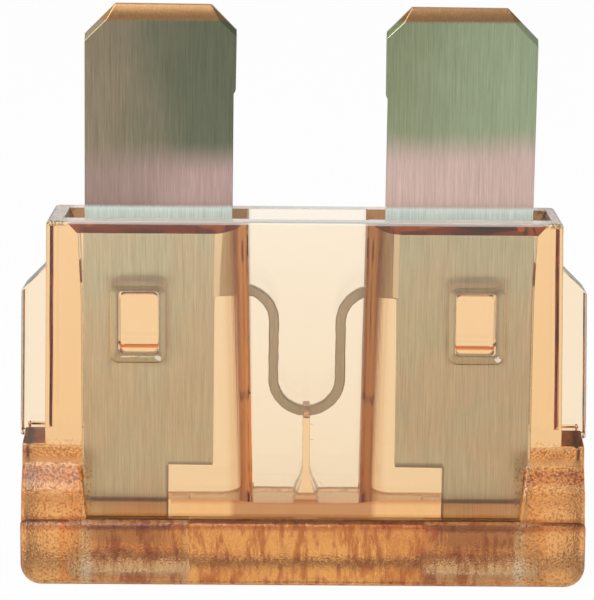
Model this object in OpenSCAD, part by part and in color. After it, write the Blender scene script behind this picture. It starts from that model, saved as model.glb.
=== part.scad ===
// Vehicle blade fuse: a clear moulded housing around one stamped metal element.
// It stands on the end face of its head, with the two blades pointing up.
// X runs across the blades, Y through the thickness, Z from the head to the blade tips.

/* [Head] */
// Width of the head
head_w = 18.85; // [18.6:0.05:19]
// Thickness of the head
head_t = 5.1; // [4.9:0.1:6]
// Height of the head
head_h = 2.15; // [2:0.05:2.8]
// Radius of the head's two lower corners
head_corner_r = 0.7; // [0.3:0.1:1.1]
// Radius along the head's upright edges
head_edge_r = 0.3; // [0.1:0.05:0.5]

/* [Body] */
// Height of the whole housing, from the head's end face to the mouth
housing_h = 12.2; // [11.8:0.1:13.2]
// Width of the body where it leaves the head
body_w = 17.3; // [17:0.1:18]
// Thickness of the body where it leaves the head
body_t = 3.9; // [3.7:0.1:4.5]
// Draft of the outer walls in degrees
outer_draft = 0.9; // [0:0.1:1.4]

/* [Ears and shoulders] */
// Width across both ears, just above their feet
ear_w = 19.05; // [18.9:0.05:19.6]
// Thickness of the thin ear at each end
ear_t = 1.5; // [1.2:0.05:2.6]
// Height at which an ear meets the body
ear_top = 10.6; // [8:0.1:11.2]
// Drop of an ear's slanted top corner
ear_corner = 0.9; // [0.4:0.1:1.4]
// Height of the thicker foot under each ear
ear_foot_top = 5.0; // [4.5:0.05:6]
// Fall of the slope on top of an ear's foot
ear_foot_slope = 0.28; // [0.1:0.02:0.5]
// Height at which a grip shoulder starts to stand out from the body
shoulder_top = 4.15; // [3.6:0.05:4.3]
// Fall of a grip shoulder's ramp
shoulder_ramp = 1.0; // [0.3:0.05:1.2]
// Distance from a grip shoulder's face back to the head's face
shoulder_setback = 0.15; // [0.05:0.05:0.4]
// Width of a grip shoulder at its foot
shoulder_w = 2.3; // [1.4:0.1:2.6]
// How much narrower a grip shoulder is at its top
shoulder_lean = 0.25; // [0:0.05:0.5]

/* [Cavity] */
// Offset of the whole cavity to the right, as the core sat in the mould
cavity_offset = 0.1; // [0:0.02:0.15]
// Height of the cavity's floor
cavity_floor = 2.57; // [2.2:0.01:2.8]
// Depth of the funnel that leads the blades into the mouth
funnel_depth = 0.55; // [0.3:0.05:0.8]
// Spread of the funnel at each flat side of a blade
funnel_side = 0.7; // [0.4:0.05:0.8]
// Spread of the funnel beyond the outer edge of each blade
funnel_end = 0.4; // [0.2:0.05:0.5]
// Height over which the slot's ends open out towards the mouth
mouth_taper_h = 2.8; // [1.5:0.1:4]
// Distance from the middle to the end of the chamber's round corner, at the floor
chamber_corner_x = 2.87; // [2.8:0.01:3]
// The same distance at the mouth
chamber_mouth_x = 3.18; // [3:0.01:3.3]
// Radius of the rounded corner where the slot opens into the chamber
chamber_corner_r = 1.3; // [1.1:0.05:1.5]
// Depth of the chamber round the link at the floor, front to back
chamber_t = 1.9; // [1.7:0.05:2.1]
// Depth of the chamber at the mouth
chamber_mouth_t = 2.35; // [2.1:0.05:2.5]

/* [Link supports] */
// Width of the two ribs that stand before and behind the link
rib_w = 0.24; // [0.2:0.02:0.5]
// Height of the top of the ribs above the middle of the link's bottom
rib_overlap = 0.05; // [0:0.05:0.5]
// Width of a rib's foot at the floor
rib_foot_w = 0.95; // [0.5:0.05:1.5]
// Height of a rib's foot
rib_foot_h = 1.1; // [0.5:0.1:2]

/* [Test pockets] */
// Distance of a test pocket's inner wall from the middle
pocket_inner_x = 3.95; // [3.6:0.05:4.3]
// Distance of a test pocket's outer wall from the middle
pocket_outer_x = 8.0; // [7.8:0.05:8.4]
// Thickness of a test pocket, front to back
pocket_t = 1.8; // [1.2:0.1:2.4]
// Depth of a test pocket from the head's end face
pocket_depth = 1.7; // [1.2:0.05:1.8]

/* [Blades] */
// Height of the blade tips above the head's end face
blade_top = 19.15; // [17.5:0.05:20]
// Thickness of the blades
blade_t = 0.65; // [0.5:0.05:0.8]
// Width of a blade
blade_w = 4.95; // [4.8:0.05:5.05]
// Distance between the middles of the two blades
blade_pitch = 10.0; // [9.9:0.05:10.1]
// Slanted outer corner of a blade's tip
tip_outer_corner = 1.0; // [0.3:0.05:1.3]
// Slanted inner corner of a blade's tip
tip_inner_corner = 0.78; // [0.3:0.02:1.2]
// Height of the coined edge at a blade's tip
tip_bevel_h = 0.5; // [0.2:0.05:0.8]
// Thickness left at the very tip
tip_edge_t = 0.36; // [0.2:0.02:0.45]
// Set-back of a blade's inner edge below the link
waist_setback = 0.6; // [0.3:0.05:0.7]
// Width of the tab that reaches down into the head
tab_w = 2.84; // [2.4:0.02:3.2]
// Height at which the blade narrows to its tab
tab_top = 3.73; // [3:0.01:4.4]
// Height of the tab's end above the head's end face
tab_end = 1.0; // [0.6:0.05:1.4]

/* [Blade windows] */
// Width of the window in each blade
window_w = 1.5; // [1.1:0.05:1.9]
// Height of the window
window_h = 2.2; // [1.4:0.05:2.6]
// Distance of the window's middle from the blade's outer edge
window_edge = 1.87; // [1.4:0.01:2.2]
// Height of the window's middle
window_z = 8.58; // [7:0.02:9.2]

/* [Link] */
// Width of the link, in the plane of the sheet
link_w = 0.34; // [0.2:0.02:0.5]
// Thickness of the thinned link
link_t = 0.3; // [0.15:0.05:0.4]
// Height of the link's straight ends
link_level = 9.65; // [9:0.05:10.2]
// Height of the middle of the link's bottom
link_bottom = 5.52; // [4.8:0.02:6.4]
// Distance between the link's two legs
link_legs = 2.24; // [1.9:0.02:2.5]
// Radius of the two upper bends, along the middle of the link
link_bend_r = 1.1; // [0.5:0.05:1.2]
// Height up to which a blade's inner margin is coined as thin as the link
coin_top = 11.9; // [10.5:0.1:12.5]
// Width of the slope from the blade's full thickness down to the coined margin
coin_slope_w = 0.16; // [0.08:0.02:0.3]

/* [Fit] */
// Clearance between a blade's flat sides and the slot
side_gap = 0.05; // [0.03:0.01:0.08]
// Clearance between a blade's outer edge and the slot's end, at the floor
edge_gap = 0.08; // [0.07:0.01:0.15]
// Extra clearance at the slot's end, at the mouth
edge_gap_growth = 0.1; // [0:0.01:0.15]
// Clearance round the staked pegs that pass through the windows
peg_gap = 0.09; // [0.07:0.01:0.15]
// Clearance between the link and the ribs beside it
link_gap = 0.1; // [0.05:0.01:0.2]
// Clockwise lean of this fuse's element in its slots, in degrees
element_lean = 0.43; // [0:0.01:0.5]

/* [Hidden] */
arc_steps = 96;
overcut = 0.5;
body_h = housing_h - head_h;
body_lean = body_h * tan(outer_draft);
ear_foot_rise = ear_foot_top - head_h;
ear_start = ear_foot_top - ear_foot_slope;
ear_rise = ear_top - ear_start;
ear_lean = ear_rise * tan(outer_draft);
cavity_h = housing_h - cavity_floor;
chamber_lean = atan((chamber_mouth_x - chamber_corner_x) / cavity_h);
slot_t = blade_t + 2 * side_gap;
blade_outer = blade_pitch / 2 + blade_w / 2;
blade_inner = blade_pitch / 2 - blade_w / 2;
blade_waist = blade_inner + waist_setback;
tab_inner = blade_outer - tab_w;
slot_half = blade_outer + edge_gap;
mouth_half = slot_half + edge_gap_growth;
window_x = blade_outer - window_edge;
link_under = link_level - link_w / 2;
link_r = link_legs / 2;
link_turn_x = link_r + link_bend_r;
lean_pivot_z = (cavity_floor + housing_h) / 2;
rib_top = link_bottom + rib_overlap;
shoulder_t = head_t - 2 * shoulder_setback;

// Stands a drawing made in X and Z upright, with its thickness centred on Y
module upright(thick) {
    rotate([90, 0, 0])
        linear_extrude(thick, center = true)
            children();
}

// Stands a drawing made in Y and Z upright, with its length centred on X
module sideways(length) {
    rotate([90, 0, 90])
        linear_extrude(length, center = true)
            children();
}

// Repeats what is drawn on the right on the left as well
module both_sides() {
    children();
    mirror([1, 0, 0])
        children();
}

// Outline with a straight top and two round lower corners
module rounded_foot(width, height, radius) {
    translate([-width / 2, radius])
        square([width, height - radius]);
    translate([-width / 2 + radius, 0])
        square([width - 2 * radius, radius]);
    for (side = [-1, 1])
        translate([side * (width / 2 - radius), radius])
            circle(radius, $fn = arc_steps);
}

// Rectangle with four round corners
module rounded_plan(width, depth, radius) {
    square([width - 2 * radius, depth], center = true);
    square([width, depth - 2 * radius], center = true);
    for (x = [-1, 1], y = [-1, 1])
        translate([x * (width / 2 - radius), y * (depth / 2 - radius)])
            circle(radius, $fn = arc_steps);
}

// Outline that narrows evenly from foot_w at z = 0 to the top
module drafted(foot_w, height, lean) {
    polygon([
        [-foot_w / 2, 0],
        [foot_w / 2, 0],
        [foot_w / 2 - lean, height],
        [-foot_w / 2 + lean, height]
    ]);
}

module head() {
    intersection() {
        upright(head_t)
            rounded_foot(head_w, head_h, head_corner_r);
        linear_extrude(head_h)
            rounded_plan(head_w, head_t, head_edge_r);
    }
}

module body() {
    translate([0, 0, head_h])
        intersection() {
            upright(body_t)
                drafted(body_w, body_h, body_lean);
            sideways(body_w)
                drafted(body_t, body_h, body_lean);
        }
}

// Thin ear at each end, standing on its foot, with a slanted top corner
module ears() {
    reach = ear_w / 2 - ear_lean;
    translate([0, 0, ear_start])
        upright(ear_t)
            polygon([
                [-ear_w / 2, 0],
                [ear_w / 2, 0],
                [reach, ear_rise - ear_corner],
                [reach - ear_corner, ear_rise],
                [-reach + ear_corner, ear_rise],
                [-reach, ear_rise - ear_corner]
            ]);
}

// Thicker foot under the ears, with a short slope on top
module ear_feet() {
    foot_lean = ear_foot_rise * tan(outer_draft);
    translate([0, 0, head_h])
        intersection() {
            upright(body_t)
                drafted(head_w, ear_foot_rise, foot_lean);
            sideways(head_w)
                polygon([
                    [-body_t / 2, 0],
                    [body_t / 2, 0],
                    [body_t / 2 - foot_lean, ear_foot_rise - ear_foot_slope],
                    [ear_t / 2, ear_foot_rise],
                    [-ear_t / 2, ear_foot_rise],
                    [-body_t / 2 + foot_lean, ear_foot_rise - ear_foot_slope]
                ]);
        }
}

// Rough grip shoulder at each end, just above the head, with a ramp on top
module shoulders() {
    rise = shoulder_top - head_h;
    lean = rise * tan(outer_draft);
    both_sides()
        translate([0, 0, head_h])
            intersection() {
                upright(shoulder_t)
                    polygon([
                        [head_w / 2, 0],
                        [head_w / 2 - lean, rise],
                        [head_w / 2 - shoulder_w + shoulder_lean, rise],
                        [head_w / 2 - shoulder_w, 0]
                    ]);
                sideways(2 * head_w)
                    polygon([
                        [-shoulder_t / 2, 0],
                        [shoulder_t / 2, 0],
                        [shoulder_t / 2 - lean, rise - shoulder_ramp],
                        [body_t / 2 - lean, rise],
                        [-body_t / 2 + lean, rise],
                        [-shoulder_t / 2 + lean, rise - shoulder_ramp]
                    ]);
            }
}

// Outline that widens evenly from floor_w at the cavity's floor to mouth_w at the mouth
module flared(floor_w, mouth_w) {
    growth = (mouth_w - floor_w) / 2 * (1 + overcut / cavity_h);
    polygon([
        [-floor_w / 2, 0],
        [floor_w / 2, 0],
        [floor_w / 2 + growth, cavity_h + overcut],
        [-floor_w / 2 - growth, cavity_h + overcut]
    ]);
}

// Round plastic corner between chamber and slot, leaning with the chamber's side
module chamber_corner(side) {
    rotate([0, side * chamber_lean, 0])
        translate([0, 0, -overcut])
            cylinder(h = cavity_h + 3 * overcut, r = chamber_corner_r, $fn = arc_steps);
}

// Wide chamber that leaves room round the link
module chamber() {
    corner_y = slot_t / 2 + chamber_corner_r;
    translate([0, 0, cavity_floor])
        difference() {
            intersection() {
                upright(2 * chamber_mouth_t)
                    flared(2 * chamber_corner_x, 2 * chamber_mouth_x);
                sideways(3 * chamber_mouth_x)
                    flared(chamber_t, chamber_mouth_t);
            }
            for (side = [-1, 1], face = [-1, 1])
                translate([side * chamber_corner_x, face * corner_y, 0])
                    chamber_corner(side);
        }
}

// Slot for both blades, whose ends open out towards the mouth
module slot() {
    upright(slot_t)
        polygon([
            [-slot_half, cavity_floor],
            [slot_half, cavity_floor],
            [slot_half, housing_h - mouth_taper_h],
            [mouth_half, housing_h],
            [mouth_half, housing_h + overcut],
            [-mouth_half, housing_h + overcut],
            [-mouth_half, housing_h],
            [-slot_half, housing_h - mouth_taper_h]
        ]);
}

// Funnel that leads the blades into the slot
module funnel() {
    reach = mouth_half + funnel_end;
    half_t = slot_t / 2 + funnel_side;
    intersection() {
        upright(2 * half_t)
            polygon([
                [-mouth_half, housing_h - funnel_depth],
                [mouth_half, housing_h - funnel_depth],
                [reach, housing_h],
                [reach, housing_h + overcut],
                [-reach, housing_h + overcut],
                [-reach, housing_h]
            ]);
        sideways(2 * reach)
            polygon([
                [-slot_t / 2, housing_h - funnel_depth],
                [slot_t / 2, housing_h - funnel_depth],
                [half_t, housing_h],
                [half_t, housing_h + overcut],
                [-half_t, housing_h + overcut],
                [-half_t, housing_h]
            ]);
    }
}

// Pocket in the head for a test probe, and the narrow slot that the tab comes through
module test_pocket() {
    translate([pocket_inner_x, -pocket_t / 2, -overcut])
        cube([pocket_outer_x - pocket_inner_x, pocket_t, pocket_depth + overcut]);
    translate([tab_inner - edge_gap, -slot_t / 2, pocket_depth - overcut])
        cube([tab_w + 2 * edge_gap, slot_t, cavity_floor - pocket_depth + 2 * overcut]);
}

// Rib before and behind the bottom of the link, with a flared foot
module link_rib() {
    rib_reach = chamber_mouth_t / 2 + overcut / 4;
    rib_face = link_t / 2 + link_gap;
    for (y = [-1, 1])
        translate([0, y * (rib_reach + rib_face) / 2, 0])
            upright(rib_reach - rib_face)
                polygon([
                    [-rib_foot_w / 2, cavity_floor - overcut / 2],
                    [rib_foot_w / 2, cavity_floor - overcut / 2],
                    [rib_w / 2, cavity_floor + rib_foot_h],
                    [rib_w / 2, rib_top],
                    [-rib_w / 2, rib_top],
                    [-rib_w / 2, cavity_floor + rib_foot_h]
                ]);
}

// Plastic staked through the blade's window, from wall to wall
module window_peg() {
    translate([window_x, 0, window_z])
        cube([window_w - 2 * peg_gap, slot_t + overcut, window_h - 2 * peg_gap], center = true);
}

module cavity() {
    difference() {
        union() {
            chamber();
            slot();
            funnel();
        }
        link_rib();
        both_sides()
            window_peg();
    }
    both_sides()
        test_pocket();
}

// Moulded housing in one piece
module housing() {
    color([0.96, 0.79, 0.57])
        difference() {
            union() {
                head();
                body();
                ears();
                ear_feet();
                shoulders();
            }
            translate([cavity_offset, 0, 0])
                cavity();
        }
}

// Front outline of the right blade with its waist, tab and window
module blade_outline() {
    difference() {
        polygon([
            [blade_inner, blade_top - tip_inner_corner],
            [blade_inner + tip_inner_corner, blade_top],
            [blade_outer - tip_outer_corner, blade_top],
            [blade_outer, blade_top - tip_outer_corner],
            [blade_outer, tab_end],
            [tab_inner, tab_end],
            [tab_inner, tab_top],
            [blade_waist, tab_top],
            [blade_waist, link_under],
            [blade_inner, link_under]
        ]);
        translate([window_x, window_z])
            square([window_w, window_h], center = true);
    }
}

// Edge-on outline of a blade, thinned to the coined tip
module blade_edge_on() {
    polygon([
        [-blade_t / 2, 0],
        [blade_t / 2, 0],
        [blade_t / 2, blade_top - tip_bevel_h],
        [tip_edge_t / 2, blade_top],
        [-tip_edge_t / 2, blade_top],
        [-blade_t / 2, blade_top - tip_bevel_h]
    ]);
}

// Metal pressed away on both faces, to leave a blade's inner margin as thin as the link
module coined_away() {
    for (face = [0, 1])
        mirror([0, face, 0])
            translate([0, 0, link_under - overcut])
                linear_extrude(coin_top - link_under + overcut)
                    polygon([
                        [blade_waist, blade_t / 2],
                        [blade_waist - coin_slope_w, link_t / 2],
                        [blade_inner - overcut, link_t / 2],
                        [blade_inner - overcut, blade_t],
                        [blade_waist, blade_t]
                    ]);
}

// Quarter of a ring, in the quadrant that the two signs name
module ring_quarter(radius, x_sign, z_sign) {
    outer = radius + link_w / 2;
    intersection() {
        difference() {
            circle(outer, $fn = arc_steps);
            circle(radius - link_w / 2, $fn = arc_steps);
        }
        translate([min(0, x_sign * outer), min(0, z_sign * outer)])
            square(outer);
    }
}

// Right half of the link: half the round bottom, a leg, an upper bend and a straight end
module link_half() {
    leg_foot = link_bottom + link_r;
    bend_z = link_level - link_bend_r;
    translate([0, leg_foot])
        ring_quarter(link_r, 1, -1);
    translate([link_r - link_w / 2, leg_foot])
        square([link_w, bend_z - leg_foot]);
    translate([link_turn_x, bend_z])
        ring_quarter(link_bend_r, -1, 1);
    translate([link_turn_x, link_under])
        square([blade_waist - link_turn_x, link_w]);
}

// Fusible link, thinner than the blades that it joins
module link() {
    upright(link_t)
        both_sides()
            link_half();
}

// Right blade: its outline, thinned at the tip and along the inner margin
module blade() {
    difference() {
        intersection() {
            upright(blade_t)
                blade_outline();
            translate([blade_pitch / 2, 0, 0])
                sideways(2 * blade_w)
                    blade_edge_on();
        }
        coined_away();
    }
}

// The element as stamped, before it leans in its slots
module flat_element() {
    both_sides()
        blade();
    link();
}

// Stamped element in one piece: two blades joined by the link
module fuse_element() {
    color([0.62, 0.62, 0.56])
        translate([cavity_offset, 0, lean_pivot_z])
            rotate([0, element_lean, 0])
                translate([0, 0, -lean_pivot_z])
                    flat_element();
}

housing();
fuse_element();
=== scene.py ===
import bpy
import bmesh
import math
import random
from mathutils import Matrix, Vector


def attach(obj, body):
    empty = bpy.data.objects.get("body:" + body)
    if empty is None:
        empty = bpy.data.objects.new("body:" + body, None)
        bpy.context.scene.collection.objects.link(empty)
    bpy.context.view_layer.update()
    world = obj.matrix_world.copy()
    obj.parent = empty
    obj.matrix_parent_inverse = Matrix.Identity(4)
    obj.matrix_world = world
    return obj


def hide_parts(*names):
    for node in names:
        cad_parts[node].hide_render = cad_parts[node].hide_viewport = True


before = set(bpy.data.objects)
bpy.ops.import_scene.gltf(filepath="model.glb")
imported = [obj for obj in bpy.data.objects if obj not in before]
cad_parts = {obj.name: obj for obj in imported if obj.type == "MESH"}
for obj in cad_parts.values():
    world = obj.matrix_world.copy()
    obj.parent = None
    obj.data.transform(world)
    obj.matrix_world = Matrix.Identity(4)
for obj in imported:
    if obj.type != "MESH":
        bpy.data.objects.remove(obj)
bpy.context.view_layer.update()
scene = bpy.context.scene
mm = 0.001  # pieces are drawn in millimetres and scaled when they are finished
hair = 0.003  # keeps two walls that would coincide just apart
print("frame loaded")


# Mesh helpers: an outline is a list of (x, z) points, a ring a list of (x, y, z) points

def loft(rings):  # skin over rings with the same number of points, closed at both ends
    bm = bmesh.new()
    rows = [[bm.verts.new(point) for point in ring] for ring in rings]
    count = len(rows[0])
    for low, high in zip(rows, rows[1:]):
        for i in range(count):
            j = (i + 1) % count
            bm.faces.new((low[i], low[j], high[j], high[i]))
    bm.faces.new(list(reversed(rows[0])))
    bm.faces.new(rows[-1])
    bmesh.ops.recalc_face_normals(bm, faces=bm.faces)
    return bm


def upright(outline, low, high):  # thickness runs along Y
    return loft([[(x, y, z) for x, z in outline] for y in (low, high)])


def level(x0, x1, y0, y1, z):  # ring of four corners at one height
    return [(x0, y0, z), (x1, y0, z), (x1, y1, z), (x0, y1, z)]


def arc(cx, cz, radius, start, end, steps):
    turns = [math.radians(start + (end - start) * i / steps) for i in range(steps + 1)]
    return [(cx + radius * math.cos(a), cz + radius * math.sin(a)) for a in turns]


def roundedOutline(cx, cz, halfW, halfH, radius, steps=5):
    outline = []
    for sideX, sideZ, start in ((-1, -1, 180), (1, -1, 270), (1, 1, 0), (-1, 1, 90)):
        outline += arc(cx + sideX * (halfW - radius), cz + sideZ * (halfH - radius), radius, start, start + 90, steps)
    return outline


def roundEdges(bm, width, segments=3, sharper=20, where=None):
    edges = []
    for edge in bm.edges:
        if len(edge.link_faces) != 2 or edge.calc_face_angle() < math.radians(sharper):
            continue
        middle = (edge.verts[0].co + edge.verts[1].co) / 2
        if where is None or where(middle, edge):
            edges.append(edge)
    bmesh.ops.bevel(bm, geom=edges, offset=width, offset_type="OFFSET", segments=segments, profile=0.5,
                    clamp_overlap=False, affect="EDGES", miter_outer="SHARP", miter_inner="SHARP")
    bmesh.ops.remove_doubles(bm, verts=bm.verts, dist=1e-5)
    bmesh.ops.recalc_face_normals(bm, faces=bm.faces)
    return bm


def runsUp(edge, least):
    return abs(edge.verts[0].co.z - edge.verts[1].co.z) > least


def mirror(bm):
    bmesh.ops.scale(bm, vec=(-1, 1, 1), verts=bm.verts)
    bmesh.ops.reverse_faces(bm, faces=bm.faces)
    return bm


def bothSides(build, *args):
    return [build(*args), mirror(build(*args))]


def solid(bm, name):
    mesh = bpy.data.meshes.new(name)
    bm.to_mesh(mesh)
    bm.free()
    made = bpy.data.objects.new(name, mesh)
    scene.collection.objects.link(made)
    return made


def evaluated(made):
    return bpy.data.meshes.new_from_object(made.evaluated_get(bpy.context.evaluated_depsgraph_get()))


def combine(base, parts, how):  # how is UNION or DIFFERENCE
    for part in parts:
        tool = solid(part, "tool")
        step = base.modifiers.new("step", "BOOLEAN")
        step.operation, step.solver, step.object = how, "EXACT", tool
        result = evaluated(base)
        base.modifiers.clear()
        old, base.data = base.data, result
        bpy.data.meshes.remove(old)
        bpy.data.objects.remove(tool)
    return base


def finishPiece(made, sharpAngle):
    bm = bmesh.new()
    bm.from_mesh(made.data)
    openEdges = sum(1 for edge in bm.edges if len(edge.link_faces) != 2)
    print(made.name, len(bm.faces), "faces", openEdges, "open edges", round(bm.calc_volume(), 2), "mm3")
    bm.free()
    for polygon in made.data.polygons:
        polygon.use_smooth = True
    made.data.set_sharp_from_angle(angle=math.radians(sharpAngle))
    even = made.modifiers.new("evenNormals", "WEIGHTED_NORMAL")
    even.mode, even.weight, even.keep_sharp = "FACE_AREA", 60, True
    result = evaluated(made)
    made.modifiers.clear()
    made.data = result
    made.data.transform(Matrix.Scale(mm, 4))
    return made


# Element: one stamped strip, two blades and the link between them; side is 1 on the right and -1 on the left

element = {
    "top": 19.15, "t": 0.65, "w": 4.95, "pitch": 10.0, "outerCorner": 1.0, "innerCorner": 0.78,
    "bevelH": 0.5, "slantBevel": 0.24, "tipT": 0.36, "edge": 0.022, "shankIn": 0.035,
    "waist": {-1: 0.6, 1: 0.49}, "notchZ": {-1: 16.32, 1: 16.2}, "bulge": {-1: 0.07, 1: 0.06},
    "tabW": 2.84, "tabTop": 3.73, "tabEnd": 1.0,
    "windowW": 1.5, "windowH": 2.2, "windowEdge": 1.87, "windowZ": 8.58, "windowCorner": 0.09,
    "linkW": 0.34, "linkT": 0.3, "level": 9.65, "bottom": 5.52, "legs": 2.24, "bendR": 1.1, "linkEdge": 0.05,
    "coinTop": 11.9, "coinSlope": 0.13, "coinSlopeTop": 0.24,
    "lean": 0.43, "pivot": 7.1, "offset": 0.1,
}
bladeIn = element["pitch"] / 2 - element["w"] / 2
bladeOut = element["pitch"] / 2 + element["w"] / 2
tabIn = bladeOut - element["tabW"]
linkUnder = element["level"] - element["linkW"] / 2
windowX = bladeOut - element["windowEdge"]


def buildBlade(side):
    e = element
    xi, xo, zt = bladeIn, bladeOut, e["top"]
    ci, co, s, b = e["innerCorner"], e["outerCorner"], e["slantBevel"], e["bevelH"]
    waist, shank, notchZ = xi + e["waist"][side], xi + e["shankIn"], e["notchZ"][side]
    notch = shank - e["bulge"][side]
    rest = [(xo, e["tabEnd"]), (tabIn, e["tabEnd"]), (tabIn, e["tabTop"]), (waist, e["tabTop"]), (waist, linkUnder),
            (shank, linkUnder), (shank, notchZ - 0.12), (notch, notchZ)]
    full = [(notch - 0.015, zt - ci - 0.05), (xi + ci, zt), (xo - co, zt), (xo, zt - co)] + rest
    inset = [(notch - 0.015, zt - ci - s), (xi + ci + s - b, zt - b), (xo - co - s + b, zt - b),
             (xo, zt - co - s)] + rest
    half, tip = e["t"] / 2, e["tipT"] / 2
    bm = loft([[(x, y, z) for x, z in ring] for y, ring in ((-half, inset), (-tip, full), (tip, full), (half, inset))])
    bmesh.ops.dissolve_limit(bm, angle_limit=math.radians(0.5), verts=bm.verts, edges=bm.edges)
    roundEdges(bm, e["edge"], 2, 25)
    return bm if side > 0 else mirror(bm)


def buildWindow(side):
    e = element
    outline = roundedOutline(side * windowX, e["windowZ"], e["windowW"] / 2, e["windowH"] / 2, e["windowCorner"])
    return upright(outline, -e["t"], e["t"])


def buildCoining(side, face):  # metal pressed away along a blade's inner margin
    e = element
    waist, past = bladeIn + e["waist"][side], bladeIn - 0.4
    t, thin = e["t"] / 2, e["linkT"] / 2 + 0.006
    rings = []
    for z, slope in ((linkUnder - 0.4, e["coinSlope"]), (e["coinTop"], e["coinSlopeTop"])):
        plan = [(waist, t), (waist - slope, thin), (past, thin), (past, t + 0.3), (waist, t + 0.3)]
        rings.append([(side * x, face * y, z) for x, y in plan])
    return loft(rings)


def linkPath():  # middle line of the link, from the left blade to the right one
    e = element
    r, b = e["legs"] / 2, e["bendR"]
    bendZ, footZ = e["level"] - b, e["bottom"] + r
    end = bladeIn + e["waist"][-1] - 0.2
    half = [(0.0, e["bottom"])]
    half += arc(0, footZ, r, 270, 360, 26)[1:]
    half += [(r, footZ + (bendZ - footZ) * i / 8) for i in range(1, 9)]
    half += arc(r + b, bendZ, b, 180, 90, 22)[1:]
    half += [(r + b + (end - r - b) * i / 4, e["level"]) for i in range(1, 5)]
    return [(-x, z) for x, z in reversed(half[1:])] + half


def buildLink():
    e = element
    path = linkPath()
    shake = random.Random(11)
    wide, t, r = e["linkW"] / 2, e["linkT"] / 2, e["linkEdge"]
    rings = []
    for i, (x, z) in enumerate(path):
        before, after = path[max(0, i - 1)], path[min(len(path) - 1, i + 1)]
        along = Vector((after[0] - before[0], 0, after[1] - before[1])).normalized()
        across = Vector((-along.z, 0, along.x))
        outer, inner = wide + shake.uniform(-0.012, 0.008), wide + shake.uniform(-0.012, 0.008)
        ring = []
        for u, v, turn in ((outer, t, 0), (-inner, t, 90), (-inner, -t, 180), (outer, -t, 270)):
            cu, cv = u - math.copysign(r, u), v - math.copysign(r, v)
            for step in range(4):
                a = math.radians(turn + 30 * step)
                ring.append(Vector((x, 0, z)) + across * (cu + r * math.cos(a)) + Vector((0, cv + r * math.sin(a), 0)))
        rings.append(ring)
    return loft(rings)


def buildElement():
    e = element
    made = solid(buildBlade(1), "stampedElement")
    combine(made, [buildBlade(-1)], "UNION")
    coinings = [buildCoining(side, face) for side in (1, -1) for face in (1, -1)]
    combine(made, [buildWindow(1), buildWindow(-1)] + coinings, "DIFFERENCE")
    combine(made, [buildLink()], "UNION")
    turn = (Matrix.Translation((e["offset"], 0, e["pivot"])) @ Matrix.Rotation(math.radians(e["lean"]), 4, "Y")
            @ Matrix.Translation((0, 0, -e["pivot"])))
    made.data.transform(turn)
    return finishPiece(made, 24)


# Housing: the outside of the amber moulding

housing = {
    "headW": 18.85, "headT": 5.1, "headH": 2.27, "headCorner": 0.7, "headEdge": 0.26,
    "height": 12.2, "bodyW": 17.3, "bodyT": 3.9, "draft": 0.9, "bodyCorner": 0.16, "rimEdge": 0.1,
    "earW": 19.05, "earT": 1.5, "earTop": 10.6, "earCorner": 0.9, "earEdge": 0.06,
    "footTop": 5.0, "footSlope": 0.28, "footEdge": 0.06, "footRunIn": 0.15,
    "shoulderTop": 4.15, "shoulderRamp": 1.0, "shoulderBack": 0.15, "shoulderW": 2.3, "shoulderLean": 0.25,
    "shoulderEdge": 0.14, "shoulderLeanAtRamp": 0.62,
}


def lean(height):  # how far an outer wall leans in over a height
    return height * math.tan(math.radians(housing["draft"]))


def buildHead():
    h = housing
    w, r = h["headW"] / 2, h["headCorner"]
    foot = arc(-w + r, r, r, 180, 270, 14) + arc(w - r, r, r, 270, 360, 14)
    outline = foot + [(w, h["headH"]), (-w, h["headH"])]
    return roundEdges(upright(outline, -h["headT"] / 2, h["headT"] / 2), h["headEdge"], 4)


def buildBody():
    h = housing
    rings = []
    for z in (1.4, h["height"]):
        w, t = h["bodyW"] / 2 - lean(z - h["headH"]), h["bodyT"] / 2 - lean(z - h["headH"])
        rings.append(level(-w, w, -t, t, z))
    bm = roundEdges(loft(rings), h["bodyCorner"], 4, where=lambda middle, edge: runsUp(edge, 5))
    return roundEdges(bm, h["rimEdge"], 2, 30, where=lambda middle, edge: middle.z > h["height"] - 0.01)


def buildEars():
    h = housing
    start, c, w = h["footTop"] - h["footSlope"], h["earCorner"], h["earW"] / 2
    reach = w - lean(h["earTop"] - start)
    outline = [(-w, start), (w, start), (reach, h["earTop"] - c), (reach - c, h["earTop"]),
               (-reach + c, h["earTop"]), (-reach, h["earTop"] - c)]
    return roundEdges(upright(outline, -h["earT"] / 2, h["earT"] / 2), h["earEdge"], 3)


def buildFeet():
    h = housing
    low, w = 1.6, h["headW"] / 2 - 0.02
    t = h["bodyT"] / 2 - 0.004  # just behind the body's own wall
    e = h["earT"] / 2
    inward, edgeZ = lean(h["footTop"] - h["headH"]), h["footTop"] - h["footSlope"]
    hidden = h["footRunIn"]  # the slopes run on into the ear
    top = h["footTop"] + hidden * h["footSlope"] / (t - e)
    side = [(-t, low), (t, low), (t - inward, edgeZ), (e - hidden, top), (hidden - e, top), (inward - t, edgeZ)]
    rings = [[(end * (w - lean(z - low)), y, z) for y, z in side] for end in (-1, 1)]
    return roundEdges(loft(rings), h["footEdge"], 3)


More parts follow.
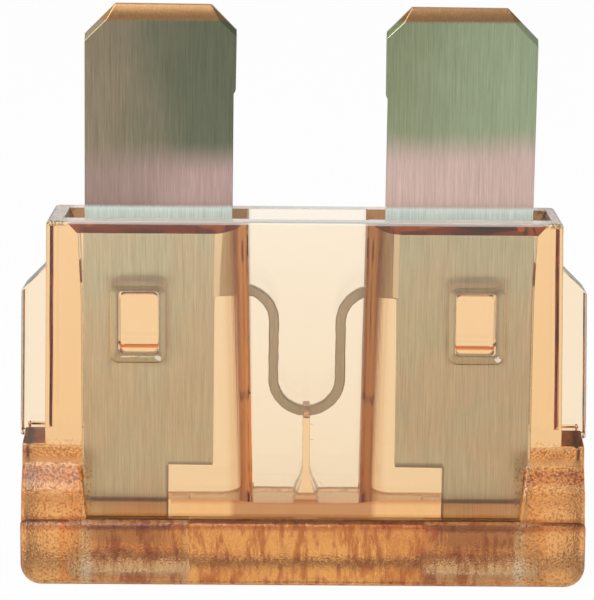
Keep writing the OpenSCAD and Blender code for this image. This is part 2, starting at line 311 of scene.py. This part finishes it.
def buildShoulder(face):
    h = housing
    low, inward = 1.7, lean(h["shoulderTop"] - h["headH"])
    t, w = h["headT"] / 2 - h["shoulderBack"], h["headW"] / 2 - 0.03
    inner = h["headW"] / 2 - h["shoulderW"]
    rampZ = h["shoulderTop"] - h["shoulderRamp"]
    rootY = face * 1.2  # inside the body
    rings = []
    for z, depth, part in ((low, t, 0), (rampZ, t - inward, h["shoulderLeanAtRamp"]),
                           (h["shoulderTop"], h["bodyT"] / 2 - inward - 0.03, 1)):
        rings.append(level(inner + h["shoulderLean"] * part, w - lean(z - h["headH"]), rootY, face * depth, z))
    return roundEdges(loft(rings), h["shoulderEdge"], 4, 18)


# Housing: the cavity, drawn as what is taken out; its fit follows the element

cavity = {
    "offset": 0.1, "floor": 2.57, "above": 0.4,
    "sideGap": 0.05, "edgeGap": 0.08, "mouthGap": 0.1, "pegGap": 0.09, "linkGap": 0.1,
    "funnelDepth": 0.55, "funnelSide": 0.7, "funnelEnd": 0.4, "taperH": 2.8,
    "cornerX": 2.87, "mouthX": 3.18, "cornerR": 1.3, "depth": 1.9, "mouthDepth": 2.35,
    "slotEdge": 0.12, "ribW": 0.24, "ribOver": 0.05, "ribFootW": 0.95, "ribFootH": 1.1, "ribEdge": 0.035,
    "filmW": 0.2, "filmWave": 0.05, "filmShake": 0.03, "filmShort": 0.7,
    "pocketIn": 3.95, "pocketOut": 8.0, "pocketT": 1.8, "pocketH": 1.7, "pocketEdge": 0.07,
    "leadIn": 0.12, "leadW": 0.028, "pegCorner": 0.16,
    "dimpleW": 1.86, "dimpleH": 2.6, "dimpleDepth": 0.18, "dimpleUp": 0.2, "dimpleCorner": 0.3,
}
slotSide = element["t"] / 2 + cavity["sideGap"]
slotEnd = bladeOut + cavity["edgeGap"]
mouthEnd = slotEnd + cavity["mouthGap"]
ribTop = element["bottom"] + cavity["ribOver"]
pegNeck = ((0.7, 0.0), (0.36, 0.0), (0.22, 0.035), (0.08, 0.05))  # distance from the middle, and how much thinner there
dimpleSteps = ((-0.6, -0.02), (0.0, 0.0), (0.3, 0.02), (0.7, 0.1), (0.93, 0.19), (1.0, 0.26))  # depth, and narrowing


def chamberPlan(cornerX, depth):
    r, s = cavity["cornerR"], slotSide
    centre = s + r
    stop = math.degrees(math.acos((centre - depth / 2) / r))
    turns = [math.radians(stop * i / 28) for i in range(29)]  # from the slot's wall to the chamber's flat face
    corner = [(cornerX - r * math.sin(a), centre - r * math.cos(a)) for a in turns]
    right = [(cornerX + 0.02, s)] + corner
    front = right + [(-x, y) for x, y in reversed(right)]
    return front + [(x, -y) for x, y in reversed(front)]


def buildChamber():
    c, top = cavity, housing["height"] + cavity["above"]
    grow = (top - c["floor"]) / (housing["height"] - c["floor"])
    plans = (chamberPlan(c["cornerX"], c["depth"]),
             chamberPlan(c["cornerX"] + (c["mouthX"] - c["cornerX"]) * grow,
                         c["depth"] + (c["mouthDepth"] - c["depth"]) * grow))
    return loft([[(x, y, z) for x, y in plan] for plan, z in zip(plans, (c["floor"], top))])


def buildSlot():
    c, top, s, m = cavity, housing["height"], slotEnd, mouthEnd
    over = top + c["above"]
    outline = [(-s, c["floor"]), (s, c["floor"]), (s, top - c["taperH"]), (m, top), (m, over),
               (-m, over), (-m, top), (-s, top - c["taperH"])]
    return roundEdges(upright(outline, -slotSide, slotSide), c["slotEdge"], 4,
                      where=lambda middle, edge: abs(middle.x) > 5 and runsUp(edge, 0.2))


def buildFunnel():
    c, top = cavity, housing["height"]
    reach, half = mouthEnd + c["funnelEnd"], slotSide + c["funnelSide"]
    levels = ((mouthEnd - hair, slotSide - hair, top - c["funnelDepth"]), (reach, half, top),
              (reach + 0.05, half + 0.05, top + 0.45))
    return loft([level(-x, x, -y, y, z) for x, y, z in levels])


def buildRib(face):
    c = cavity
    near, far = element["linkT"] / 2 + c["linkGap"], c["mouthDepth"] / 2 + 0.12
    floor, foot, w, steps = c["floor"] - 0.1, c["ribFootW"] / 2, c["ribW"] / 2, 12
    right = []
    for i in range(steps + 1):
        z = floor + (ribTop - floor) * i / steps
        flare = min(1, max(0.0, 1 - (z - c["floor"]) / c["ribFootH"]))
        right.append((w + (foot - w) * flare ** 2.2, z))
    outline = right + [(-x, z) for x, z in reversed(right)]
    return roundEdges(upright(outline, *sorted((face * near, face * far))), c["ribEdge"], 2, 30)


def chamberWall(z):  # distance from the middle to the chamber's flat face
    c = cavity
    part = (z - c["floor"]) / (housing["height"] - c["floor"])
    return c["depth"] / 2 + (c["mouthDepth"] - c["depth"]) / 2 * part


def buildFilm(face):  # thin wavy film of plastic beside each rib, left by the core's vent
    c = cavity
    shake = random.Random(5)
    right, left = [], []
    for i in range(22):
        t = i / 21
        z = c["floor"] - 0.1 + (ribTop - c["filmShort"] - c["floor"]) * t
        flare = max(0.0, 1 - (z - c["floor"]) / 0.9)
        rightWave = c["filmWave"] * math.sin(7 * t + 1) + c["filmShake"] * shake.uniform(-1, 1)
        leftWave = c["filmWave"] * math.sin(6 * t) + c["filmShake"] * shake.uniform(-1, 1)
        right.append((c["filmW"] + rightWave + 0.36 * flare ** 1.6, z))
        left.append((-c["filmW"] - leftWave - 0.3 * flare ** 1.6, z))
    outline = right + left[::-1]
    rings = [[(x, face * (chamberWall(z) - 0.05 + depth), z) for x, z in outline] for depth in (0.0, 0.5)]
    return loft(rings if face > 0 else rings[::-1])


def buildPeg():
    e, gap = element, cavity["pegGap"]
    neck = [(-y, less) for y, less in pegNeck] + [(y, less) for y, less in reversed(pegNeck)]
    rings = []
    for y, less in neck:
        halfW, halfH = e["windowW"] / 2 - gap - less, e["windowH"] / 2 - gap - less
        outline = roundedOutline(windowX, e["windowZ"], halfW, halfH, cavity["pegCorner"])
        rings.append([(x, y, z) for x, z in outline])
    return loft(rings)


def buildPocket():
    c = cavity
    near, far, top, half = c["pocketIn"], c["pocketOut"], c["pocketH"], c["pocketT"] / 2
    outline = [(near, -0.5), (far, -0.5), (far, top), (near, top)]
    return roundEdges(upright(outline, -half, half), c["pocketEdge"], 3)


def buildTabSlot():
    c = cavity
    low, high, half = tabIn - c["edgeGap"], slotEnd - 0.002, slotSide - 0.03
    wide = half + c["leadW"]
    levels = ((c["pocketH"] - 0.3, half), (c["floor"] - c["leadIn"], half),
              (c["floor"] + 0.001, wide), (c["floor"] + 0.3, wide))
    return loft([level(low, high, -y, y, z) for z, y in levels])


def buildDimple(side, face):  # shallow hollow where the wall was pressed through the blade's window
    c = cavity
    x, z = side * windowX + c["offset"], element["windowZ"] + c["dimpleUp"]
    wall = housing["bodyT"] / 2 - lean(z - housing["headH"])
    rings = []
    for part, less in dimpleSteps:
        y = face * (wall - c["dimpleDepth"] * part)
        halfW, halfH = c["dimpleW"] / 2 - less, c["dimpleH"] / 2 - less
        outline = roundedOutline(x, z, halfW, halfH, c["dimpleCorner"] - 0.5 * less, 6)
        rings.append([(px, y, pz) for px, pz in outline])
    return loft(rings)


def buildHousing():
    outer = solid(buildHead(), "amberHousing")
    shoulders = [part for face in (1, -1) for part in bothSides(buildShoulder, face)]
    combine(outer, [buildBody(), buildEars(), buildFeet()] + shoulders, "UNION")
    hollow = solid(buildSlot(), "hollow")
    combine(hollow, [buildChamber(), buildFunnel()], "UNION")
    combine(hollow, [buildRib(1), buildRib(-1), buildFilm(1), buildFilm(-1)] + bothSides(buildPeg), "DIFFERENCE")
    combine(hollow, bothSides(buildPocket) + bothSides(buildTabSlot), "UNION")
    hollow.data.transform(Matrix.Translation((cavity["offset"], 0, 0)))
    dimples = [buildDimple(side, face) for side in (1, -1) for face in (1, -1)]
    inside = bmesh.new()
    inside.from_mesh(hollow.data)
    bpy.data.objects.remove(hollow)
    combine(outer, [inside] + dimples, "DIFFERENCE")
    return finishPiece(outer, 24)


# Finishes: colours and masks follow the piece's own place in millimetres

white = (1.0, 1.0, 1.0)


def emptyTree(owner):
    owner.use_nodes = True
    tree = owner.node_tree
    tree.nodes.clear()

    def make(kind, inputs=None, **settings):
        node = tree.nodes.new("ShaderNode" + kind)
        for key, value in settings.items():
            setattr(node, key, value)
        for key, value in (inputs or {}).items():
            if isinstance(value, bpy.types.NodeSocket):
                tree.links.new(value, node.inputs[key])
            else:
                node.inputs[key].default_value = value
        return node
    return make


def newFinish(name):
    mat = bpy.data.materials.new(name)
    return mat, emptyTree(mat)


def maskTools(make):
    def calc(how, first, second=0.0):
        return make("Math", {0: first, 1: second}, operation=how).outputs[0]

    def both(first, *others):  # product of masks
        for other in others:
            first = calc("MULTIPLY", first, other)
        return first

    def either(first, *others):  # greatest of masks
        for other in others:
            first = calc("MAXIMUM", first, other)
        return first

    def rise(value, low, high, start=0.0, end=1.0):  # soft step, which falls where low is above high
        inputs = {"Value": value, "From Min": low, "From Max": high, "To Min": start, "To Max": end}
        return make("MapRange", inputs, interpolation_type="SMOOTHSTEP").outputs[0]

    def between(value, out, low, high, past):  # 1 from low to high, 0 before out and beyond past
        return both(rise(value, out, low), rise(value, past, high))
    return calc, both, either, rise, between


def paintTools(make):
    def full(colour):
        return colour + (1.0,) if isinstance(colour, tuple) else colour

    def blend(share, first, second):
        return make("Mix", {0: share, 6: full(first), 7: full(second)}, data_type="RGBA").outputs[2]

    def times(first, second):
        return make("VectorMath", {0: first, 1: second}, operation="MULTIPLY").outputs[0]

    def grain(spot, stretch, scale=1.0, detail=3.0, roughness=0.6):
        inputs = {"Vector": times(spot, stretch), "Scale": scale, "Detail": detail, "Roughness": roughness}
        return make("TexNoise", inputs).outputs[0]
    return blend, times, grain


def place(make):  # the piece's own X, Y and Z in millimetres
    spot = make("TexCoord").outputs["Object"]
    scaled = make("VectorMath", {0: spot, 1: (1000, 1000, 1000)}, operation="MULTIPLY").outputs[0]
    return (scaled,) + tuple(make("SeparateXYZ", {0: scaled}).outputs)


def trueNormal(make):
    return make("SeparateXYZ", {0: make("NewGeometry").outputs["True Normal"]}).outputs


plastic = {
    "body": (0.95, 0.6375, 0.125), "density": 400.0, "ior": 1.585,
    "smooth": 0.015, "rough": 0.09, "shine": 0.2, "roughShine": 0.05, "brightShine": 0.5,
    "headBump": 0.065, "pitBump": 0.024, "fineBump": 0.015, "waveBump": 0.12,  # in millimetres
    "headDark": (0.46, 0.18, 0.05), "headPale": (1.0, 0.9, 0.62), "headEnd": (1.0, 0.84, 0.5),
    "speckle": (0.7, 0.56, 0.42), "pocket": (0.8, 0.52, 0.3), "paintedGlint": (1.0, 0.76, 0.42),
    "pitDark": (0.42, 0.2, 0.09), "pitPale": (1.0, 0.95, 0.82),
    "bandDark": (0.34, 0.1, 0.02), "bandPale": (1.0, 0.68, 0.24),
    "frostDark": (0.3, 0.25, 0.12), "frostPale": (1.0, 1.0, 0.9),
    "backShade": (0.42, 0.27, 0.22), "pocketEnd": (0.95, 0.62, 0.3), "cornerSideShade": (0.88, 0.74, 0.6),
    "cornerDeepShade": (0.5, 0.24, 0.12), "funnel": (0.3, 0.13, 0.05), "floor": (0.6, 0.46, 0.36),
    "foot": (0.36, 0.13, 0.06), "ledge": (0.62, 0.34, 0.16), "top": (1.0, 0.95, 0.85),
    "matteTop": 0.55, "matteCorner": 0.42, "matteFunnel": 0.5,  # share that scatters light and lets none through
}


def amberPlastic():
    p, h, c = plastic, housing, cavity
    mat, make = newFinish("amberPlastic")
    calc, both, either, rise, between = maskTools(make)
    blend, times, grain = paintTools(make)
    spot, x, y, z = place(make)
    ax, ay = calc("ABSOLUTE", x), calc("ABSOLUTE", y)
    nx, ny, nz = (calc("ABSOLUTE", part) for part in trueNormal(make))
    headTop, rimZ, faceY, endX = h["headH"], h["height"], h["headT"] / 2, h["headW"] / 2
    floorZ, shoulderTop, shoulderIn = c["floor"], h["shoulderTop"], endX - h["shoulderW"]

    # where each part of the surface is
    skin = either(rise(ay, faceY - 0.4, faceY - 0.2), rise(ax, endX - 0.525, endX - 0.225))
    clearBack = both(rise(z, 1.05, 1.35), rise(y, 2.0, 2.3), rise(ax, 7.2, 6.8))
    head = both(rise(z, headTop + 0.13, headTop - 0.02), skin, calc("SUBTRACT", 1.0, both(clearBack, 0.92)))
    shoulder = both(rise(z, shoulderTop + 0.2, shoulderTop + 0.05), rise(ax, shoulderIn - 0.175, shoulderIn + 0.025),
                    rise(ay, 1.84, 1.98))
    rim = both(rise(z, rimZ - 0.2, rimZ - 0.1), rise(ax, 7.6, 8.0))
    earSide = both(rise(nx, 0.85, 0.98), rise(ax, 9.25, 9.38), rise(z, 4.7, 5.0))
    earCorner = both(rise(z, 9.65, 9.75), rise(ax, 8.6, 8.8), rise(ny, 0.6, 0.3))
    outside = either(rise(ay, 1.3, 1.4), rise(ax, 8.15, 8.25))
    rimEdge = both(rise(z, rimZ - 0.12, rimZ - 0.08), rise(nz, 0.25, 0.5), outside)
    top = either(both(rise(z, rimZ - 0.1, rimZ - 0.02), rise(nz, 0.85, 0.98)), rimEdge)
    rough = either(shoulder, rim, earSide, earCorner)
    worn = either(rough, head)
    ends = rise(ax, 8.0, 8.3)
    # head's top ledge; its dark tint is painted shade, and the mask also calms the bump and adds shine there
    ledge = both(between(z, 1.85, 2.05, 2.3, 2.4), rise(ay, 1.9, 2.0))
    near, far = c["pocketIn"], c["pocketOut"]
    # tab pockets; the head is painted darker over them as painted shade
    pocket = both(head, between(ax, near - 0.1, near + 0.1, far - 0.1, far + 0.1))
    # ends of the tab pockets, painted darker as painted shade
    pocketEnd = both(head, between(ax, 7.3, 7.5, 8.0, 8.2))
    # painted shade: the chamber's rounded corner walls, where the dark stripes run, are tinted darker, darkest and
    # partly matte where they turn most
    cornerSideShade = both(rise(nx, 0.12, 0.4), between(ax, 1.8, 2.0, 3.3, 3.5), between(ay, 0.34, 0.4, 1.2, 1.3))
    cornerDeepShade = both(cornerSideShade, rise(nx, 0.42, 0.55))
    # painted shade: the funnel's sloping faces at the mouth are tinted dark and made partly matte
    funnel = both(rise(z, 11.55, 11.65), between(nz, 0.3, 0.5, 0.9, 0.97), rise(ay, 1.25, 1.15))
    # painted shade: the cavity floor is tinted darker
    floor = both(between(z, floorZ - 0.07, floorZ - 0.02, floorZ + 0.03, floorZ + 0.08), rise(nz, 0.8, 0.95))
    # painted shade: the top faces of the ear feet are tinted dark
    foot = both(between(z, 4.6, 4.72, 5.0, 5.1), rise(nz, 0.8, 0.93))
    # shoulder ramp band: frosted grain, darkened there as painted shade
    band = both(shoulder, between(z, 3.4, 3.6, 3.9, 4.1))
    backShade = both(rise(z, 1.05, 1.35), rise(y, 2.0, 2.3), rise(ax, 2.6, 2.3))

    # roughness left by spark erosion in the mould
    streaks = grain(spot, (5.5, 5.5, 1.3), 1.0, 4.0, 0.62)
    cloud = grain(spot, (2.2, 2.2, 0.8))
    pits = grain(spot, (11.0, 11.0, 11.0))
    fine = grain(spot, (1.0, 1.0, 1.0), 20.0, 2.0, 0.5)
    drift = grain(spot, (0.35, 0.35, 0.2), 1.0, 1.0, 0.4)
    calm = calc("SUBTRACT", 1.0, either(both(ends, 0.45), both(ledge, 0.7)))
    normal = None
    for strength, depth, height in ((both(head, calm), p["headBump"], streaks), (rough, p["pitBump"], pits),
                                    (both(worn, 0.6), p["fineBump"], fine), (0.35, p["waveBump"], drift)):
        inputs = {"Strength": strength, "Distance": depth * mm, "Height": height}
        if normal:
            inputs["Normal"] = normal
        normal = make("Bump", inputs).outputs[0]

    # colours
    deep = rise(calc("ADD", both(streaks, 0.5), both(cloud, 0.5)), 0.41, 0.54)
    headTint = blend(deep, p["headDark"], p["headPale"])
    headTint = blend(both(ends, 0.75), headTint, p["headEnd"])
    speckle = rise(calc("ADD", fine, both(ends, 0.1)), 0.32, 0.48)
    headTint = times(headTint, blend(speckle, p["speckle"], white))
    # painted shade: the head darker over the tab pockets
    headTint = times(headTint, blend(pocket, white, p["pocket"]))
    # painted highlight: golden glints in a line low on the head over the pockets
    paintedGlintLine = both(between(z, 0.46, 0.52, 0.58, 0.64), rise(pits, 0.48, 0.58))
    headTint = blend(both(paintedGlintLine, pocket), headTint, p["paintedGlint"])
    tint = blend(head, white, headTint)
    tint = blend(shoulder, tint, blend(rise(pits, 0.38, 0.5), p["pitDark"], p["pitPale"]))
    for mask, colour in ((band, blend(rise(pits, 0.42, 0.6), p["bandDark"], p["bandPale"])),
                         (rim, blend(rise(pits, 0.47, 0.56), p["frostDark"], p["frostPale"])),
                         # painted shade at the back and at the pocket ends
                         (backShade, p["backShade"]), (pocketEnd, p["pocketEnd"]),
                         (cornerSideShade, p["cornerSideShade"]), (cornerDeepShade, p["cornerDeepShade"]), (funnel, p["funnel"]),
                         (floor, p["floor"]), (foot, p["foot"]), (ledge, p["ledge"]), (top, p["top"])):
        tint = times(tint, blend(mask, white, colour))

    bright = either(top, ledge, both(head, rise(pits, 0.52, 0.6)))
    shine = either(rise(worn, 0.0, 1.0, p["shine"], p["roughShine"]), both(bright, p["brightShine"]))
    matte = either(both(top, p["matteTop"]), both(cornerDeepShade, p["matteCorner"]), both(funnel, p["matteFunnel"]))
    surface = make("BsdfPrincipled", {
        "Base Color": tint, "Roughness": rise(worn, 0.0, 1.0, p["smooth"], p["rough"]), "IOR": p["ior"],
        "Transmission Weight": calc("SUBTRACT", 1.0, matte), "Specular IOR Level": shine, "Normal": normal})
    body = make("VolumeAbsorption", {"Color": p["body"] + (1.0,), "Density": p["density"]})
    make("OutputMaterial", {"Surface": surface.outputs[0], "Volume": body.outputs[0]})
    return mat


metal = {
    "topLeft": ((0.31, 0.253, 0.17), (0.166, 0.179, 0.117)), "topRight": ((0.313, 0.35, 0.211), (0.395, 0.457, 0.295)),
    "lowLeft": ((0.4, 0.283, 0.243), (0.555, 0.386, 0.345)), "lowRight": (0.72, 0.52, 0.455),
    # mouth and mouthMatte: a pale band painted on the blades just above the rim, a painted reflection
    "mouth": (0.76, 0.9, 0.83), "mouthMatte": 0.75, "tip": (0.36, 0.2, 0.09),
    # inside: the same metal painted paler within the housing, painted light
    "inside": ((0.66, 0.76, 0.78), (0.69, 0.73, 0.69), (0.75, 0.79, 0.76), (0.98, 1.0, 0.98)),  # from the mouth down
    "hue": ((0.97, 1.01, 1.02), (1.03, 0.98, 0.98)), "window": (0.44, 0.33, 0.29),
    # the window colour and the frame sizes set a painted shade around each window
    "frameAside": 0.04, "frameUp": 0.12, "frameHalfW": 0.76, "frameHalfH": 1.2,
    "pinkFrom": 14.75, "pinkTo": 13.45,
    # edge: colour of a painted shade along the tab's inner edge
    "margin": (0.6, 0.52, 0.42), "link": (0.52, 0.43, 0.3), "edge": (0.2, 0.16, 0.13),
    # the first colour on the next line is a painted shadow line across the tab at the cavity floor
    "floorShadowLine": (0.16, 0.13, 0.15), "slope": (1.0, 0.98, 0.93),
    "roughness": 0.36, "brushed": 0.5, "lineBump": 0.012,  # the last in millimetres
    "lineTone": (0.84, 1.15), "scratchTone": (0.9, 1.09),
}


def platedMetal():
    m, e = metal, element
    mat, make = newFinish("platedMetal")
    calc, both, either, rise, between = maskTools(make)
    blend, times, grain = paintTools(make)
    spot, x, y, z = place(make)
    lines = grain(spot, (26.0, 26.0, 0.6), 1.0, 5.0, 0.7)
    scratch = grain(spot, (42.0, 42.0, 1.1))
    blotch = grain(spot, (0.5, 0.5, 0.4))
    wander = calc("SUBTRACT", blotch, 0.5)
    rimZ = housing["height"]

    def away(value, middle):
        return calc("ABSOLUTE", calc("SUBTRACT", value, middle))

    # outside the housing: colour that differs from blade to blade, greenish grey higher up and pink lower down, and
    # pale in the mouth where a reflection is painted
    right = rise(x, -2.0, 2.0)
    along = calc("ADD", x, both(wander, 3.0))
    top = blend(right, blend(rise(along, -6.9, -3.6), *m["topLeft"]), blend(rise(along, 2.8, 7.2), *m["topRight"]))
    low = blend(right, blend(rise(along, -6.5, -3.0), *m["lowLeft"]), m["lowRight"])
    high = calc("SUBTRACT", calc("ADD", z, both(wander, 0.6)), rise(right, 0.0, 1.0, 0.0, 0.45))
    colour = blend(rise(high, m["pinkFrom"], m["pinkTo"]), top, low)
    # painted reflection: a pale band on the blades just above the rim
    mouth = rise(calc("ADD", z, both(lines, 0.2)), rimZ + 0.46, rimZ + 0.3)
    colour = blend(mouth, colour, m["mouth"])

    # inside the housing: painted light, the metal painted paler than the same metal outside and palest below the cavity
    # floor
    inside = blend(rise(z, 11.5, 7.5), m["inside"][0], m["inside"][1])
    inside = blend(rise(z, 6.5, 3.0), inside, m["inside"][2])
    inside = blend(rise(z, 2.56, 2.46), inside, m["inside"][3])
    inside = times(inside, blend(rise(blotch, 0.42, 0.58), *m["hue"]))
    colour = blend(rise(z, rimZ - 0.22, rimZ - 0.32), colour, inside)
    colour = blend(rise(z, e["top"] - 0.55, e["top"] - 0.43), colour, m["tip"])
    # painted shade: browner metal in a soft frame around each window, under the pressed hollow in the wall
    frameX = calc("SUBTRACT", away(away(x, 0.11), windowX + m["frameAside"]), m["frameHalfW"])
    frameZ = calc("SUBTRACT", away(z, e["windowZ"] + m["frameUp"]), m["frameHalfH"])
    near = rise(calc("ADD", either(frameX, frameZ), both(wander, 0.6)), 0.42, -0.05)
    colour = blend(both(near, 0.6), colour, m["window"])

    # margins, link and edges, by the distance from the element's leaning middle
    middle = calc("ADD", both(calc("SUBTRACT", z, e["pivot"]), math.tan(math.radians(e["lean"]))), e["offset"])
    reach = away(x, middle)
    colour = blend(both(calc("LESS_THAN", reach, 2.95), calc("LESS_THAN", z, e["coinTop"])), colour, m["margin"])
    colour = blend(calc("LESS_THAN", reach, 2.45), colour, m["link"])
    # painted shade: dark lines down the tab's inner edge and at its top corner
    waistEdge = both(between(z, 3.6, 3.7, 3.76, 3.93), rise(reach, tabIn + 0.025, tabIn - 0.035))
    edge = either(waistEdge, both(rise(reach, tabIn + 0.085, tabIn + 0.005), rise(z, 3.8, 3.7)))
    colour = blend(both(edge, 0.75), colour, m["edge"])
    # painted shadow: a dark line across the tab where the cavity floor meets it
    colour = blend(both(between(z, 2.44, 2.5, 2.55, 2.68), 0.8), colour, m["floorShadowLine"])
    # painted highlight: the coined slopes along each blade's inner margin inside the housing are painted near white and
    # turned to face straight out, a painted light band
    slope = both(calc("GREATER_THAN", reach, 2.86), calc("LESS_THAN", reach, 3.14),
                 calc("GREATER_THAN", z, 9.5), calc("LESS_THAN", z, 11.95),
                 rise(calc("ABSOLUTE", trueNormal(make)[0]), 0.2, 0.4))

    # drawing lines along the strip
    def tone(noise, limits):
        inputs = {"Value": noise, "From Min": 0.3, "From Max": 0.7, "To Min": limits[0], "To Max": limits[1]}
        return make("MapRange", inputs).outputs[0]
    colour = times(colour, both(tone(lines, m["lineTone"]), tone(scratch, m["scratchTone"])))
    bump = make("Bump", {"Strength": 0.5, "Distance": m["lineBump"] * mm, "Height": lines}).outputs[0]
    # the straight outward normal for the painted light band
    straight = make("CombineXYZ", {1: calc("SIGN", y)}).outputs[0]
    normal = make("Mix", {0: slope, 4: bump, 5: straight}, data_type="VECTOR").outputs[1]
    # the painted reflection band above the rim is made partly non-metal
    solidMetal = calc("SUBTRACT", 1.0, both(mouth, rise(z, rimZ - 0.3, rimZ - 0.2), m["mouthMatte"]))
    surface = make("BsdfPrincipled", {
        "Base Color": blend(slope, colour, m["slope"]), "Metallic": solidMetal, "Roughness": m["roughness"],
        "Anisotropic": m["brushed"], "Normal": normal})
    make("OutputMaterial", {"Surface": surface.outputs[0]})
    return mat


# Room, light and camera

camera = {
    "distance": 90.0, "lookDown": 10.9, "turn": 0.37, "pixelsPerUnit": 2674.8,
    "aim": (-0.242, 0.0, 9.27), "frameHeight": 600, "sensor": 36.0,
}
room = {
    "sky": 0.45, "floor": 0.92, "floorSize": 3000.0, "floorDrop": 0.02, "whitened": 0.97,
    "lampPower": 0.23, "lampSize": 120.0, "lampPlace": (-70, -120, 110), "lampAim": (0, 0, 10),
}


def placeCamera():
    data = bpy.data.cameras.new("photoCamera")
    data.sensor_width = camera["sensor"]
    data.lens = camera["pixelsPerUnit"] / camera["frameHeight"] * camera["sensor"]
    data.clip_start, data.clip_end = 0.001, 10.0
    eye = bpy.data.objects.new("photoCamera", data)
    scene.collection.objects.link(eye)
    down = math.radians(camera["lookDown"])
    back = Vector((0, -math.cos(down), math.sin(down)))
    eye.location = Vector(camera["aim"]) * mm + back * camera["distance"] * mm
    facing = (-back).to_track_quat("-Z", "Y").to_matrix()
    eye.rotation_euler = (facing @ Matrix.Rotation(math.radians(camera["turn"]), 3, "Z")).to_euler()
    scene.camera = eye


def buildWorld():  # plain sky, white where the camera looks and, through the plastic, on a card behind the fuse
    world = bpy.data.worlds.new("whiteRoom")
    make = emptyTree(world)
    calc, both, either, rise = maskTools(make)[:4]
    way = make("SeparateXYZ", {0: make("TexCoord").outputs["Generated"]}).outputs
    card = both(rise(calc("ABSOLUTE", way[0]), 0.55, 0.35), rise(way[1], 0.0, 0.3), rise(way[2], 0.6, 0.3))
    path = make("LightPath").outputs
    seen = either(path["Is Camera Ray"], both(either(path["Is Transmission Ray"], path["Is Glossy Ray"]), card))
    light = make("Background", {"Color": white + (1.0,), "Strength": either(seen, room["sky"])})
    make("OutputWorld", {"Surface": light.outputs[0]})
    scene.world = world


def paleFloor():
    mat, make = newFinish("paleFloor")
    calc, both, either, rise = maskTools(make)[:4]
    x, y = place(make)[1:3]
    aside = calc("SUBTRACT", calc("ABSOLUTE", x), both(y, 0.3))
    behind = both(rise(aside, 18.0, 9.0), rise(y, -2.0, 2.0))
    path = make("LightPath").outputs
    seen = either(path["Is Camera Ray"], both(path["Is Transmission Ray"], behind))
    plain = make("BsdfDiffuse", {"Color": (room["floor"],) * 3 + (1.0,)})
    glow = make("Emission", {"Color": white + (1.0,), "Strength": 1.0})
    shown = make("MixShader", {0: both(seen, room["whitened"]), 1: plain.outputs[0], 2: glow.outputs[0]})
    make("OutputMaterial", {"Surface": shown.outputs[0]})
    return mat


def buildFloor():
    half, drop = room["floorSize"] / 2 * mm, -room["floorDrop"] * mm
    mesh = bpy.data.meshes.new("floor")
    mesh.from_pydata(level(-half, half, -half, half, drop), [], [(0, 1, 2, 3)])
    mesh.materials.append(paleFloor())
    floor = bpy.data.objects.new("floor", mesh)
    scene.collection.objects.link(floor)


def placeLamp():
    data = bpy.data.lights.new("softLamp", "AREA")
    data.shape, data.size, data.energy = "DISK", room["lampSize"] * mm, room["lampPower"]
    lamp = bpy.data.objects.new("softLamp", data)
    lamp.location = Vector(room["lampPlace"]) * mm
    lamp.rotation_euler = (Vector(room["lampAim"]) * mm - lamp.location).to_track_quat("-Z", "Y").to_euler()
    lamp.visible_transmission = False
    scene.collection.objects.link(lamp)


placeCamera()
buildWorld()
buildFloor()
placeLamp()
print("room and camera placed")
pieces = ((buildHousing(), "housing", "clear_housing", amberPlastic()),
          (buildElement(), "fuse_element", "plated_metal", platedMetal()))
for piece, node, slotName, mat in pieces:
    piece.data.materials.clear()
    piece.data.materials.append(mat)
    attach(piece, "root")
    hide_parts(node)
print("pieces finished")
scene.view_settings.view_transform = "Standard"
scene.cycles.max_bounces = 12
scene.cycles.transmission_bounces = 12
scene.cycles.use_denoising = True
